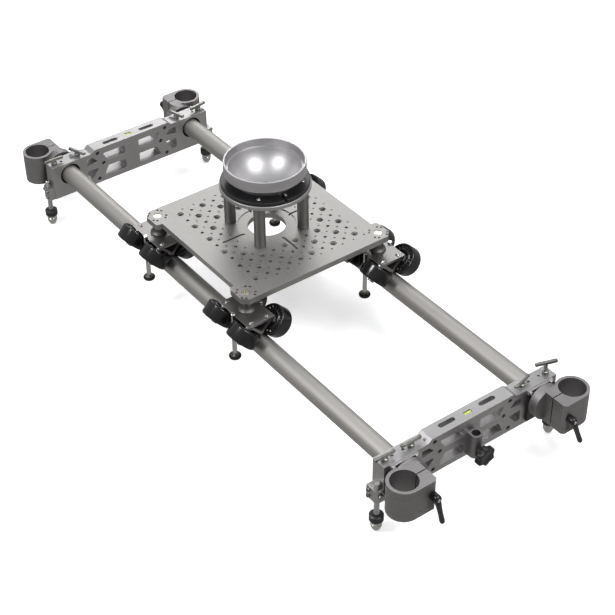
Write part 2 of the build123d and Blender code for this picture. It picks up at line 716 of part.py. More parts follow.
def bowl_clamp_ring():
    """Black split ring that grips the bowl's neck."""
    bore = bowl_neck_r + static_gap
    high = clamp_ring_top
    ring = turned([(bore, ring_top), (clamp_ring_r, ring_top), (clamp_ring_r, high - 1), (clamp_ring_r - 1, high), (bore, high)])
    slot = block(0, clamp_ring_r + 2, -clamp_ring_slot / 2, clamp_ring_slot / 2, ring_top - 1, high + 1)
    ring -= Rot(0, 0, clamp_ring_slot_angle) * slot
    for x, y in riser_post_places():
        ring -= cylinder_z(4.2, x, y, high - 2.5, high + 1)
    return Pos(carriage_x, 0, 0) * ring


def levelling_bowl():
    """Bowl with a spherical seat, an upright lip and a neck through the rings."""
    rim = bowl_rim_z
    lip_low = rim - bowl_lip_depth
    centre = lip_low + math.sqrt(bowl_sphere_r**2 - bowl_seat_r**2)
    floor = centre - math.sqrt(bowl_sphere_r**2 - bowl_hole_r**2)
    neck_high = rim - bowl_rim_height - 12
    neck_low = ring_low + body_gap
    mid_r = 0.72 * bowl_sphere_r
    seat = ThreePointArc((bowl_hole_r, floor), (mid_r, centre - math.sqrt(bowl_sphere_r**2 - mid_r**2)),
                         (bowl_seat_r, lip_low))
    outside = Polyline((bowl_seat_r, lip_low), (bowl_lip_r, lip_low), (bowl_lip_r, rim), (bowl_rim_r, rim),
                       (bowl_rim_r, rim - bowl_rim_height), (bowl_neck_r, neck_high), (bowl_neck_r, neck_low),
                       (bowl_neck_r - 14, floor - bowl_floor), (bowl_hole_r, floor - bowl_floor), (bowl_hole_r, floor))
    profile = Plane.XZ * make_face(seat + outside)
    return Pos(carriage_x, 0, 0) * revolve(profile, Axis.Z)


def carriage_group(make):
    """Pieces of all four trucks, each drawn about its own truck centre."""
    out = []
    for x, y, end, side in truck_places():
        out += [Pos(x, y, 0) * piece for piece in make()]
    return out


def truck_axle_pieces(make):
    """Pieces that sit on the four axles of one truck."""
    return [on_axle(end, side, piece) for end in ENDS.values() for side in SIDES.values() for piece in make()]


os.makedirs("parts", exist_ok=True)

for side_name, side in SIDES.items():
    save(f"rail_{side_name}", [Pos(0, side * rail_y, 0) * rail()])
near_frame = end_frame()
save("end_frame_near", [near_frame])
save("end_frame_far", [mirror(near_frame, about=Plane.YZ)])
save("level_vials", [vial(), mirror(vial(), about=Plane.YZ)])
save("rail_jaws", all_rail_jaws())
save("stop_bars", four(stop_bar()))
save("frame_screws", [s for screw in frame_screws() for s in four(screw)])
save("clamp_pads", four(clamp_pad()))
save("clamp_rosettes", four(rosette()))
save("foot_brackets", four(foot_bracket()))
save("spigot_receivers", [spigot_receiver(), mirror(spigot_receiver(), about=Plane.YZ)])

near_clamp = tube_clamp()
for end_name, end in ENDS.items():
    for side_name, side in SIDES.items():
        corner = f"{end_name}_{side_name}"
        save(f"tube_clamp_{corner}", [place(near_clamp, end, side)])
        save(f"clamp_lever_{corner}", [place(clamp_lever(side * lever_tilt[corner]), end, side)])
        save(f"levelling_foot_{corner}", [place(piece, end, side) for piece in levelling_foot()])
        for place_name, offset in (("inner", -wing_offset), ("outer", wing_offset)):
            screw = wing_screw(wing_turns.get((corner, place_name), 0.0), wing_rise.get((corner, place_name), 0.0))
            place_at = Pos(end * frame_mid_x, side * (rail_y + offset), frame_top)
            save(f"wing_screw_{corner}_{place_name}", [place_at * screw])
    save(f"star_knob_{end_name}", [place(star_knob(), end, 1)])

save("carriage_plate", [carriage_plate()])
save("truck_brackets", carriage_group(lambda: [truck_bracket()]))
save("truck_pivots", carriage_group(lambda: [truck_pivot()]))
save("wheel_axles", carriage_group(lambda: truck_axle_pieces(lambda: [axle()])))
save("wheel_bearings", carriage_group(lambda: truck_axle_pieces(bearings)))
save("keeper_posts", carriage_group(lambda: [keeper_post(1), keeper_post(-1)]))
save("riser_posts", riser_posts())
save("riser_ring", [riser_ring()])
save("bowl_clamp_ring", [bowl_clamp_ring()])
save("levelling_bowl", [levelling_bowl()])

AXLE_NAMES = {(1, -1): "a", (1, 1): "b", (-1, -1): "c", (-1, 1): "d"}
one_wheel = wheel()
for x, y, end, side in truck_places():
    end_name = "near" if end > 0 else "far"
    side_name = "right" if side > 0 else "left"
    for (axle_end, axle_side), letter in AXLE_NAMES.items():
        placed = Pos(x, y, 0) * on_axle(axle_end, axle_side, one_wheel)
        save(f"wheel_{end_name}_{side_name}_{letter}", [placed])
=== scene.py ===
import json
import math

import bmesh
import bpy
from mathutils import Matrix, Vector


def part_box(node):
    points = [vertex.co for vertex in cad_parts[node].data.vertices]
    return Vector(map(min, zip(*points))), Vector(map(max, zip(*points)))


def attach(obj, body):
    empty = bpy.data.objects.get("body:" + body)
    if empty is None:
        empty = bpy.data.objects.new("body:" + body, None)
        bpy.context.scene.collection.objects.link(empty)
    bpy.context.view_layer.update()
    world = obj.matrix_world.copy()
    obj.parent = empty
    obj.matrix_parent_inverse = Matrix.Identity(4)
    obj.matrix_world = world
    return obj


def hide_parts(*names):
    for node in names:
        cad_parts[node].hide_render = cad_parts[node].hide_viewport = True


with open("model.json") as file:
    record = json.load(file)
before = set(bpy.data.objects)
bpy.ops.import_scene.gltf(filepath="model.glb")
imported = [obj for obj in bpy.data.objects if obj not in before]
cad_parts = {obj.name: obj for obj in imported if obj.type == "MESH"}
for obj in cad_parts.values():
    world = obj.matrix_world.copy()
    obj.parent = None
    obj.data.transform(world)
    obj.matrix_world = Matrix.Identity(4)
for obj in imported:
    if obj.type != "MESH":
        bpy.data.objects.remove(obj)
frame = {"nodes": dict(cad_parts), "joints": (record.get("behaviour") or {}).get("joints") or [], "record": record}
nodes = frame["nodes"]
joints = {joint["name"]: joint for joint in frame["joints"]}
body_of = {node: body for body, group in frame["record"]["behaviour"]["bodies"].items() for node in group}
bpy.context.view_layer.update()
MM = 0.001

# ---- Floor, light and camera ---------------------------------------------------------------
# The slider stands on a pale seamless floor in a white room that is brighter overhead and behind,
# lit by a soft box to each side and a long one beyond the far end, and seen from above its near end.
scene = bpy.context.scene
scene.view_settings.view_transform = "Standard"


def add_node(tree, kind, **sockets):
    """A shader node with its sockets set: plain values stay on the socket, sockets are linked."""
    node = tree.nodes.new(kind)
    for name, value in sockets.items():
        socket = node.inputs[name.replace("_", " ")]
        if isinstance(value, bpy.types.NodeSocket):
            tree.links.new(value, socket)
        else:
            socket.default_value = value
    return node


studio = bpy.data.worlds.new("studio")
scene.world = studio
studio.use_nodes = True
sky = studio.node_tree
sky.nodes.clear()
brightest_way = (-0.35, 0.3, 0.89)
room_dim, room_bright = 0.30, 0.78
heading = sky.nodes.new("ShaderNodeTexCoord")
beyond = sky.nodes.new("ShaderNodeVectorMath")
beyond.operation = "DOT_PRODUCT"
beyond.inputs[1].default_value = brightest_way
sky.links.new(heading.outputs["Generated"], beyond.inputs[0])
brighter = add_node(sky, "ShaderNodeMapRange", Value=beyond.outputs["Value"], From_Min=-0.35,
                    To_Min=room_dim, To_Max=room_bright)
room = add_node(sky, "ShaderNodeBackground", Color=(0.96, 0.97, 1, 1), Strength=brighter.outputs[0])
backdrop = add_node(sky, "ShaderNodeBackground", Color=(1, 1, 1, 1), Strength=1.0)


def seen_or_lit(tree, lit, seen, output_kind):
    """Ends a node tree with one shader for what the camera sees and another for the light it gives."""
    sight = tree.nodes.new("ShaderNodeLightPath")
    mix = add_node(tree, "ShaderNodeMixShader", Fac=sight.outputs["Is Camera Ray"])
    tree.links.new(lit.outputs[0], mix.inputs[1])
    tree.links.new(seen.outputs[0], mix.inputs[2])
    tree.links.new(mix.outputs[0], tree.nodes.new(output_kind).inputs["Surface"])


seen_or_lit(sky, room, backdrop, "ShaderNodeOutputWorld")

floor_half = 12.0
floor_mesh = bpy.data.meshes.new("floor")
floor_mesh.from_pydata([(-floor_half, -floor_half, 0), (floor_half, -floor_half, 0),
                        (floor_half, floor_half, 0), (-floor_half, floor_half, 0)], [], [(0, 1, 2, 3)])
floor = bpy.data.objects.new("floor", floor_mesh)
scene.collection.objects.link(floor)
paper = bpy.data.materials.new("paper_floor")
paper.use_nodes = True
sheet = paper.node_tree
sheet.nodes.clear()
matte = add_node(sheet, "ShaderNodeBsdfDiffuse", Color=(0.93, 0.93, 0.93, 1))
glow = add_node(sheet, "ShaderNodeEmission", Color=(1, 1, 1, 1), Strength=0.42)
pale = sheet.nodes.new("ShaderNodeAddShader")
sheet.links.new(matte.outputs[0], pale.inputs[0])
sheet.links.new(glow.outputs[0], pale.inputs[1])
dim = add_node(sheet, "ShaderNodeEmission", Color=(1, 0.99, 0.97, 1), Strength=0.40)
seen_or_lit(sheet, dim, pale, "ShaderNodeOutputMaterial")
floor_mesh.materials.append(paper)


def soft_box(name, place, size, watts):
    """Rectangular light aimed at the middle of the slider."""
    lamp = bpy.data.lights.new(name, "AREA")
    lamp.shape = "RECTANGLE"
    lamp.size, lamp.size_y = size
    lamp.energy = watts
    light = bpy.data.objects.new(name, lamp)
    light.location = place
    light.rotation_mode = "QUATERNION"
    light.rotation_quaternion = (Vector((0, 0, 0.15)) - Vector(place)).to_track_quat("-Z", "Y")
    scene.collection.objects.link(light)


soft_box("soft_box_left", (-0.3, -2.0, 2.4), (0.65, 0.65), 34)
soft_box("soft_box_right", (1.5, 0.5, 2.65), (1.1, 1.1), 42)
soft_box("soft_box_far", (-2.4, 1.6, 2.0), (1.6, 0.6), 20)

camera_place = (1.9244, -1.3287, 1.8966)
camera_data = bpy.data.cameras.new("camera")
camera_data.lens = 88.56
camera_data.sensor_width = 36.0
camera_data.clip_start, camera_data.clip_end = 0.05, 60.0
camera = bpy.data.objects.new("camera", camera_data)
scene.collection.objects.link(camera)
scene.camera = camera
sight_line = Vector((-0.6314, 0.4592, -0.6248)).normalized()
right_hand = Vector((0.594, 0.804, -0.010))
right_hand = (right_hand - sight_line * right_hand.dot(sight_line)).normalized()
upward = right_hand.cross(sight_line)
turned_to = Matrix((right_hand, upward, -sight_line)).transposed().to_4x4()
camera.matrix_world = Matrix.Translation(camera_place) @ turned_to

# ---- Rails -----------------------------------------------------------------------------------
# Two drawn steel tubes, brushed along their length, with faint draw lines. Their ends sit in the
# end frames. The finishes that every later piece shares are worked out here.


def new_group(name, inputs, outputs):
    """Empty shader node group with named sockets."""
    tree = bpy.data.node_groups.new(name, "ShaderNodeTree")
    for socket_name, kind, value in inputs:
        socket = tree.interface.new_socket(socket_name, in_out="INPUT", socket_type=kind)
        socket.default_value = value
    for socket_name, kind in outputs:
        tree.interface.new_socket(socket_name, in_out="OUTPUT", socket_type=kind)
    return tree, tree.nodes.new("NodeGroupInput"), tree.nodes.new("NodeGroupOutput")


def maths(tree, operation, *values, clamp=False):
    """Output of a maths node whose inputs are numbers or sockets."""
    node = tree.nodes.new("ShaderNodeMath")
    node.operation = operation
    node.use_clamp = clamp
    for socket, value in zip(node.inputs, values):
        if isinstance(value, bpy.types.NodeSocket):
            tree.links.new(value, socket)
        else:
            socket.default_value = value
    return node.outputs[0]


def streak_group():
    """Brushing: noise drawn out along one axis by a scale for each axis."""
    tree, given, made = new_group("brushed_streaks", [("Fineness", "NodeSocketVector", (20, 900, 900)),
                                                      ("Contrast", "NodeSocketFloat", 1.0)],
                                  [("Streak", "NodeSocketFloat")])
    place = tree.nodes.new("ShaderNodeTexCoord")
    stretch = add_node(tree, "ShaderNodeMapping", Vector=place.outputs["Object"],
                       Scale=given.outputs["Fineness"])
    noise = add_node(tree, "ShaderNodeTexNoise", Vector=stretch.outputs[0], Scale=1.0, Detail=3.0,
                     Roughness=0.6)
    centred = maths(tree, "SUBTRACT", noise.outputs["Fac"], 0.5)
    scaled = maths(tree, "MULTIPLY_ADD", centred, given.outputs["Contrast"], 0.5, clamp=True)
    tree.links.new(scaled, made.inputs["Streak"])
    return tree


def grain_group():
    """Blasted or cast skin: fine speckle over a slow cloud of tone."""
    tree, given, made = new_group("cast_grain", [("Speckle Size", "NodeSocketFloat", 1200.0),
                                                 ("Cloud Size", "NodeSocketFloat", 14.0)],
                                  [("Speckle", "NodeSocketFloat"), ("Cloud", "NodeSocketFloat")])
    place = tree.nodes.new("ShaderNodeTexCoord")
    fine = add_node(tree, "ShaderNodeTexNoise", Vector=place.outputs["Object"],
                    Scale=given.outputs["Speckle Size"], Detail=2.0, Roughness=0.7)
    slow = add_node(tree, "ShaderNodeTexNoise", Vector=place.outputs["Object"],
                    Scale=given.outputs["Cloud Size"], Detail=4.0, Roughness=0.55)
    tree.links.new(fine.outputs["Fac"], made.inputs["Speckle"])
    tree.links.new(slow.outputs["Fac"], made.inputs["Cloud"])
    return tree


def edge_group():
    """Edge mask for a painted highlight and wear: where a rounded edge would turn away from the face, broken up by
    noise.
    """
    tree, given, made = new_group("edge_highlight_and_wear", [("Width", "NodeSocketFloat", 0.0012),
                                                ("Strength", "NodeSocketFloat", 1.0)],
                                  [("Edge", "NodeSocketFloat")])
    rounded = add_node(tree, "ShaderNodeBevel", Radius=given.outputs["Width"])
    rounded.samples = 4
    flat = tree.nodes.new("ShaderNodeNewGeometry")
    agree = tree.nodes.new("ShaderNodeVectorMath")
    agree.operation = "DOT_PRODUCT"
    tree.links.new(rounded.outputs[0], agree.inputs[0])
    tree.links.new(flat.outputs["Normal"], agree.inputs[1])
    # Rounded edges are picked out here so they can be painted lighter, partly as a highlight and partly as wear.
    edge = add_node(tree, "ShaderNodeMapRange", Value=agree.outputs["Value"], From_Min=0.985, From_Max=0.80)
    place = tree.nodes.new("ShaderNodeTexCoord")
    chips = add_node(tree, "ShaderNodeTexNoise", Vector=place.outputs["Object"], Scale=260.0, Detail=3.0)
    broken = maths(tree, "MULTIPLY_ADD", chips.outputs["Fac"], 0.9, 0.45)
    highlight_wear_mask = maths(tree, "MULTIPLY", edge.outputs[0], broken)
    strong = maths(tree, "MULTIPLY", highlight_wear_mask, given.outputs["Strength"], clamp=True)
    tree.links.new(strong, made.inputs["Edge"])
    return tree


STREAKS, GRAIN, EDGES = streak_group(), grain_group(), edge_group()


def use_group(tree, group, **sockets):
    """Places a shared effect in a material with that material's own values."""
    node = tree.nodes.new("ShaderNodeGroup")
    node.node_tree = group
    for name, value in sockets.items():
        node.inputs[name.replace("_", " ")].default_value = value
    return node


def blend_colour(tree, mask, low, high):
    """Colour that runs from low to high with a mask; each is a colour or a colour socket."""
    mix = tree.nodes.new("ShaderNodeMix")
    mix.data_type = "RGBA"
    tree.links.new(mask, mix.inputs["Factor"])
    for socket, colour in ((mix.inputs[6], low), (mix.inputs[7], high)):
        if isinstance(colour, bpy.types.NodeSocket):
            tree.links.new(colour, socket)
        else:
            socket.default_value = (*colour, 1)
    return mix.outputs[2]


def span(tree, value, low, high, start=0.0, end=1.0):
    """Maps a mask that runs from start to end onto a range."""
    return add_node(tree, "ShaderNodeMapRange", Value=value, From_Min=start, From_Max=end,
                    To_Min=low, To_Max=high).outputs[0]


def finish_material(name, dark, light, edge, rough, metallic=1.0, fineness=None, speckle=1200.0,
                    cloud=14.0, bump=0.00003, edge_width=0.001, edge_strength=0.8, coat=0.0):
    """Finish whose colour and roughness wander between two values with brushing or grain.
    Its edges are lightened to a third colour: a painted highlight, broken up by noise like wear."""
    material = bpy.data.materials.new(name)
    material.use_nodes = True
    tree = material.node_tree
    shader = tree.nodes["Principled BSDF"]
    shader.inputs["Metallic"].default_value = metallic
    if coat:
        shader.inputs["Coat Weight"].default_value = coat
        shader.inputs["Coat Roughness"].default_value = 0.12
    grain = use_group(tree, GRAIN, Speckle_Size=speckle, Cloud_Size=cloud)
    if fineness:
        streak = use_group(tree, STREAKS, Fineness=fineness, Contrast=1.5).outputs["Streak"]
    else:
        streak = grain.outputs["Speckle"]
    tone = span(tree, maths(tree, "ADD", streak, grain.outputs["Cloud"]), 0.0, 1.0, 0.55, 1.45)
    colour = blend_colour(tree, tone, dark, light)
    if edge_strength:
        # Edges get a painted highlight: the third colour over a mask of rounded edges, broken up by noise like
        # wear.
        highlight_wear_node = use_group(tree, EDGES, Width=edge_width, Strength=edge_strength)
        colour = blend_colour(tree, highlight_wear_node.outputs["Edge"], colour, edge)
    tree.links.new(colour, shader.inputs["Base Color"])
    tree.links.new(span(tree, tone, rough[0], rough[1]), shader.inputs["Roughness"])
    bumps = add_node(tree, "ShaderNodeBump", Strength=0.35, Distance=bump, Height=streak)
    tree.links.new(bumps.outputs[0], shader.inputs["Normal"])
    return material


def wear_material(obj, material):
    """Gives a CAD node or a piece its one material."""
    obj.data.materials.clear()
    obj.data.materials.append(material)


rail_steel = finish_material("rail_steel", (0.38, 0.365, 0.345), (0.48, 0.465, 0.445), (0.6, 0.6, 0.58),
                             (0.52, 0.60), fineness=(6, 500, 500), cloud=5.0, bump=0.000015,
                             edge_strength=0.0)
for rail in ("rail_left", "rail_right"):
    wear_material(nodes[rail], rail_steel)

# ---- End frames ------------------------------------------------------------------------------
# Milled from plate, bead blasted and clear anodised, with the edges broken by a chamfer and painted brighter as a
# highlight.
# Each holds a level vial in a trough in its bridge, and curved jaws that grip the rail.


def hand_over(piece, node):
    """Lets a piece stand for a CAD node and ride on its body."""
    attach(piece, body_of[node])
    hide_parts(node)
    return piece


def copied(node, width, steps=2):
    """Piece with a CAD node's shape and its machined edges broken by a small round."""
    weld = 0.00002
    corner = math.radians(28.0)
    mesh = nodes[node].data.copy()
    shape = bmesh.new()
    shape.from_mesh(mesh)
    bmesh.ops.remove_doubles(shape, verts=shape.verts, dist=weld)
    bmesh.ops.dissolve_degenerate(shape, dist=weld, edges=shape.edges)
    bmesh.ops.dissolve_limit(shape, angle_limit=math.radians(1.0), verts=shape.verts, edges=shape.edges)
    for face in shape.faces:
        face.smooth = True
    shape.to_mesh(mesh)
    shape.free()
    mesh.set_sharp_from_angle(angle=corner)
    piece = bpy.data.objects.new(node + "_look", mesh)
    scene.collection.objects.link(piece)
    bevel = piece.modifiers.new("edge_round", "BEVEL")
    bevel.width = width
    bevel.segments = steps
    bevel.limit_method = "ANGLE"
    bevel.angle_limit = corner
    flat = piece.modifiers.new("flat_faces", "WEIGHTED_NORMAL")
    flat.keep_sharp = True
    flat.weight = 100
    return hand_over(piece, node)


frame_silver = finish_material("frame_silver", (0.36, 0.352, 0.352), (0.48, 0.47, 0.468), (0.80, 0.80, 0.80),
                               (0.40, 0.52), speckle=1600.0, cloud=9.0, edge_width=0.0012)
for end in ("near", "far"):
    wear_material(copied(f"end_frame_{end}", 0.0007), frame_silver)
black_anodised = finish_material("black_anodised", (0.010, 0.010, 0.011), (0.026, 0.026, 0.028),
                                 (0.14, 0.14, 0.14), (0.30, 0.42), metallic=0.3, speckle=1500.0)
wear_material(copied("rail_jaws", 0.0003), black_anodised)


def turned(rings, around=48, ripple=None, closed=False):
    """Points and faces of a shape turned about Z from (radius, height) pairs, in millimetres.
    A ripple shifts a point's radius and height by its angle; a closed shape has a bore."""
    points, faces = [], []
    for radius, height in rings:
        for step in range(around):
            angle = 2 * math.pi * step / around
            r, z = ripple(radius, height, angle) if ripple else (radius, height)
            points.append((r * math.cos(angle) * MM, r * math.sin(angle) * MM, z * MM))
    rows = len(rings)
    for row in range(rows if closed else rows - 1):
        here, above = row * around, (row + 1) % rows * around
        for step in range(around):
            after = (step + 1) % around
            faces.append((here + step, here + after, above + after, above + step))
    if not closed:
        faces.append(tuple(range(around))[::-1])
        faces.append(tuple(range((rows - 1) * around, rows * around)))
    return points, faces


def standing(x, y, z, axis=(0, 0, 1), turn=0.0):
    """Place in millimetres whose Z points along an axis."""
    tip = Vector(axis).to_track_quat("Z", "Y").to_matrix().to_4x4()
    return Matrix.Translation(Vector((x, y, z)) * MM) @ tip @ Matrix.Rotation(math.radians(turn), 4, "Z")


def assembled(name, parts, sharp=35.0):
    """One piece from (points and faces, place, material) parts."""
    shape = bmesh.new()
    slots = []
    for (points, faces), place, material in parts:
        if material not in slots:
            slots.append(material)
        verts = [shape.verts.new(place @ Vector(point)) for point in points]
        made = [shape.faces.new([verts[i] for i in face]) for face in faces]
        for face in made:
            face.material_index = slots.index(material)
            face.smooth = True
        bmesh.ops.recalc_face_normals(shape, faces=made)
    mesh = bpy.data.meshes.new(name)
    shape.to_mesh(mesh)
    shape.free()
    for material in slots:
        mesh.materials.append(material)
    mesh.set_sharp_from_angle(angle=math.radians(sharp))
    piece = bpy.data.objects.new(name, mesh)
    scene.collection.objects.link(piece)
    return piece


vial_glass = finish_material("vial_glass", (0.62, 0.70, 0.10), (0.74, 0.80, 0.20), (1, 1, 0.8), (0.05, 0.09),
                             metallic=0.0, speckle=200.0, edge_strength=0.0, coat=0.6)
vial_bubble = finish_material("vial_bubble", (0.85, 0.9, 0.5), (0.95, 0.98, 0.7), (1, 1, 1), (0.08, 0.12),
                              metallic=0.0, speckle=200.0, edge_strength=0.0, coat=0.6)
vial_low, vial_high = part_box("level_vials")
vial_r = (vial_high.z - vial_low.z) / 2 / MM
vial_z = (vial_high.z + vial_low.z) / 2 / MM
vial_half = (vial_high.y - vial_low.y) / 2 / MM
vial_x = vial_high.x / MM - vial_r
band_r, bubble_r, bubble_half = vial_r + 0.08, 1.7, 2.6
tube_rings = [(vial_r * 0.7, -vial_half), (vial_r, -vial_half + 1), (vial_r, vial_half - 1),
              (vial_r * 0.7, vial_half)]
band_rings = [(vial_r - 0.5, -0.4), (band_r, -0.3), (band_r, 0.3), (vial_r - 0.5, 0.4)]
bubble_turns = [math.pi * i / 12 for i in range(13)]
bubble_rings = [(0.2 + (bubble_r - 0.2) * math.sin(turn), -bubble_half * math.cos(turn))
                for turn in bubble_turns]
vial_parts = []
for end in (-1, 1):
    vial_parts.append((turned(tube_rings), standing(end * vial_x, 0, vial_z, (0, 1, 0)), vial_glass))
    for offset in (-2.9, 2.9):
        band_spot = standing(end * vial_x, offset, vial_z, (0, 1, 0))
        vial_parts.append((turned(band_rings), band_spot, black_anodised))
    bubble_spot = standing(end * vial_x, 0, vial_z + vial_r + 0.08 - bubble_r, (0, 1, 0))
    vial_parts.append((turned(bubble_rings, 20), bubble_spot, vial_bubble))
hand_over(assembled("level_vial_pair", vial_parts), "level_vials")

# ---- Stop bars, pads and screws --------------------------------------------------------------
# A plated bar closes the top of each rail pocket, over a black moulded pad.
# Socket screws hold the bars and the foot brackets; a knurled screw locks each foot.
bright_steel = finish_material("bright_steel", (0.46, 0.45, 0.43), (0.62, 0.61, 0.59), (0.85, 0.85, 0.83),
                               (0.20, 0.32), speckle=900.0, cloud=60.0, edge_width=0.0004)
worn_zinc = finish_material("worn_zinc", (0.22, 0.22, 0.205), (0.34, 0.34, 0.315), (0.78, 0.78, 0.74),
                            (0.26, 0.40), speckle=700.0, cloud=90.0, edge_width=0.0005)
black_moulded = finish_material("black_moulded", (0.006, 0.006, 0.0065), (0.013, 0.013, 0.014),
                                (0.03, 0.03, 0.03), (0.28, 0.38), metallic=0.0, speckle=1800.0,
                                edge_strength=0.3)
wear_material(copied("stop_bars", 0.0004), frame_silver)
wear_material(copied("clamp_pads", 0.0006), black_moulded)


def socket_head(radius, height):
    """Socket screw head standing on the origin, with a hexagon recess."""
    recess = radius * 0.55

    def hexagon(r, z, angle):
        if r > recess + 0.35:
            return r, z
        return r * 0.9 / math.cos(angle % (math.pi / 3) - math.pi / 6), z
    rings = [(recess, height * 0.35), (recess, height - 0.25), (recess + 0.3, height), (radius - 0.5, height),
             (radius, height - 0.5), (radius, 0)]
    return turned(rings, 36, hexagon)


def knurled(radius, low, high, count, depth=0.35, fine=4, lead=0.8):
    """Knurled collar with plain chamfered ends: crossing ridges cut into the outside."""
    def ripple(r, z, angle):
        if r < radius - 0.01:
            return r, z
        across = count * angle / (2 * math.pi)
        rise = (z - low) * count / (2 * math.pi * radius)
        ridges = abs((across + rise) % 1 - 0.5) + abs((across - rise) % 1 - 0.5)
        return r - depth * ridges, z
    inner_low, inner_high = low + lead + 0.2, high - lead - 0.2
    steps = max(6, round((inner_high - inner_low) * count * fine / (2 * math.pi * radius)))
    rings = [(radius - lead * 2, low), (radius - lead, low + lead * 0.3), (radius - 0.1, low + lead)]
    rings += [(radius, inner_low + (inner_high - inner_low) * i / steps) for i in range(steps + 1)]
    rings += [(radius - 0.1, high - lead), (radius - lead, high - lead * 0.3), (radius - lead * 2, high)]
    return turned(rings, count * fine, ripple)


bar_low, bar_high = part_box("stop_bars")
bar_face = bar_high.x / MM
bar_z = (bar_low.z + bar_high.z) / 2 / MM
bar_screw_offset = 24.5
rail_low, rail_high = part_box("rail_right")
rail_y = (rail_low.y + rail_high.y) / 2 / MM
bracket_low, bracket_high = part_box("foot_brackets")
bracket_screw_inward = 11.8
bracket_screw_rises = (7, 20)
thumb_screw_rise = 13.5
foot_low, foot_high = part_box("levelling_foot_near_right")
foot_x = (foot_low.x + foot_high.x) / 2 / MM
foot_y = (foot_low.y + foot_high.y) / 2 / MM
screw_parts = []
for end in (-1, 1):
    for side in (-1, 1):
        for offset in (-bar_screw_offset, bar_screw_offset):
            bar_spot = standing(end * bar_face, side * (rail_y + offset), bar_z, (end, 0, 0))
            screw_parts.append((socket_head(3.9, 4), bar_spot, bright_steel))
        for rise in bracket_screw_rises:
            bracket_spot = standing(end * (foot_x - bracket_screw_inward), side * bracket_high.y / MM,
                                    bracket_low.z / MM + rise, (0, side, 0))
            screw_parts.append((socket_head(3.9, 4), bracket_spot, worn_zinc))
        thumb_spot = standing(end * bracket_high.x / MM, side * foot_y, bracket_low.z / MM + thumb_screw_rise,
                              (end, 0, 0))
        screw_parts.append((knurled(6, 0.3, 5, 28), thumb_spot, worn_zinc))
hand_over(assembled("socket_screws", screw_parts), "frame_screws")

# ---- T-bar screws ----------------------------------------------------------------------------
# Eight hand screws tighten the frames on the rails: a rounded steel bar pressed through the head
# of a threaded stem, over a knurled collar and a washer.


def skin(rows, around):
    """Faces of a closed skin over rows of points, with a flat face at each end."""
    faces = []
    for row in range(rows - 1):
        for step in range(around):
            after = (step + 1) % around
            faces.append((row * around + step, row * around + after,
                          (row + 1) * around + after, (row + 1) * around + step))
    return faces + [tuple(range(around)), tuple(range((rows - 1) * around, rows * around))]


def rounded_bar(length, width):
    """Bar lying along Y with a rounded square section and eased ends, sitting on the origin."""
    around, squareness = 24, 5
    half = length / 2
    ends = [(half, 0.55), (half - 0.5, 0.8), (half - 1.6, 0.96), (length / 4, 1.0)]
    stations = [(-y, share) for y, share in ends] + [(0, 1.0)] + ends[::-1]
    points = []
    for y, share in stations:
        for step in range(around):
            angle = 2 * math.pi * step / around
            c, s = math.cos(angle), math.sin(angle)
            reach = share * width / 2 * (abs(c) ** squareness + abs(s) ** squareness) ** (-1 / squareness)
            points.append((reach * c * MM, y * MM, (width / 2 + reach * s) * MM))
    return points, skin(len(stations), around)


def thread_rod(radius, low, high):
    """Threaded rod between two heights, with a lead at each end."""
    pitch, depth, lead = 1.5, 0.45, 0.8

    def ripple(r, z, angle):
        if r < radius - 0.01:
            return r, z
        return r - depth * abs(2 * ((z / pitch - angle / (2 * math.pi)) % 1) - 1), z
    threaded = high - low - 2 * lead
    steps = round(threaded / pitch * 6)
    rings = [(radius - 1, low), (radius - 0.5, low + 0.5)]
    rings += [(radius, low + lead + threaded * i / steps) for i in range(steps + 1)]
    return turned(rings + [(radius - 0.5, high - 0.5), (radius - 1, high)], 28, ripple)


wing_turns = {"wing_screw_near_right_outer": -19.0, "wing_screw_near_right_inner": 15.0,
              "wing_screw_far_left_inner": -68.0, "wing_screw_far_right_outer": 10.0,
              "wing_screw_far_right_inner": -75.0}
wing_length, wing_thick = 43, 6.5
washer_rings = [(3.2, 0.6), (5.8, 0.6), (6.1, 0.9), (6.1, 1.6), (5.2, 1.9), (3.2, 1.9)]
for end in ("near", "far"):
    for side in ("left", "right"):
        for where in ("inner", "outer"):
            node = f"wing_screw_{end}_{side}_{where}"
            x, y, z = [value / MM for value in joints[f"wing_turn_{end}_{side}_{where}"]["pos_m"]]
            wing_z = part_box(node)[1].z / MM - wing_thick
            neck = turned([(3.4, 5.5), (3.4, wing_z - z + 1.5)])
            shapes = [turned(washer_rings), knurled(6.2, 1.9, 5.6, 26), neck, thread_rod(3.0, -20, 3)]
            placed = [(shape, standing(x, y, z), worn_zinc) for shape in shapes]
            wing_spot = standing(x, y, wing_z, turn=wing_turns.get(node, 0.0))
            placed.append((rounded_bar(wing_length, wing_thick), wing_spot, worn_zinc))
            hand_over(assembled(node + "_look", placed), node)

# ---- Tube clamps and levers ------------------------------------------------------------------
# Cast and tumbled clamps turn on a rosette at each rail end, and their split jaws close on a tube.
# A black moulded lever with a screw through its hub tightens each.
clamp_grey = finish_material("clamp_grey", (0.235, 0.222, 0.223), (0.33, 0.316, 0.317), (0.56, 0.54, 0.54),
                             (0.46, 0.58), speckle=1000.0, cloud=18.0, edge_width=0.0016)
wear_material(copied("clamp_rosettes", 0.0008), clamp_grey)
lever_black = finish_material("lever_black", (0.003, 0.003, 0.0035), (0.007, 0.007, 0.008),
                              (0.03, 0.03, 0.03), (0.20, 0.30), metallic=0.0, speckle=1500.0,
                              edge_strength=0.0)


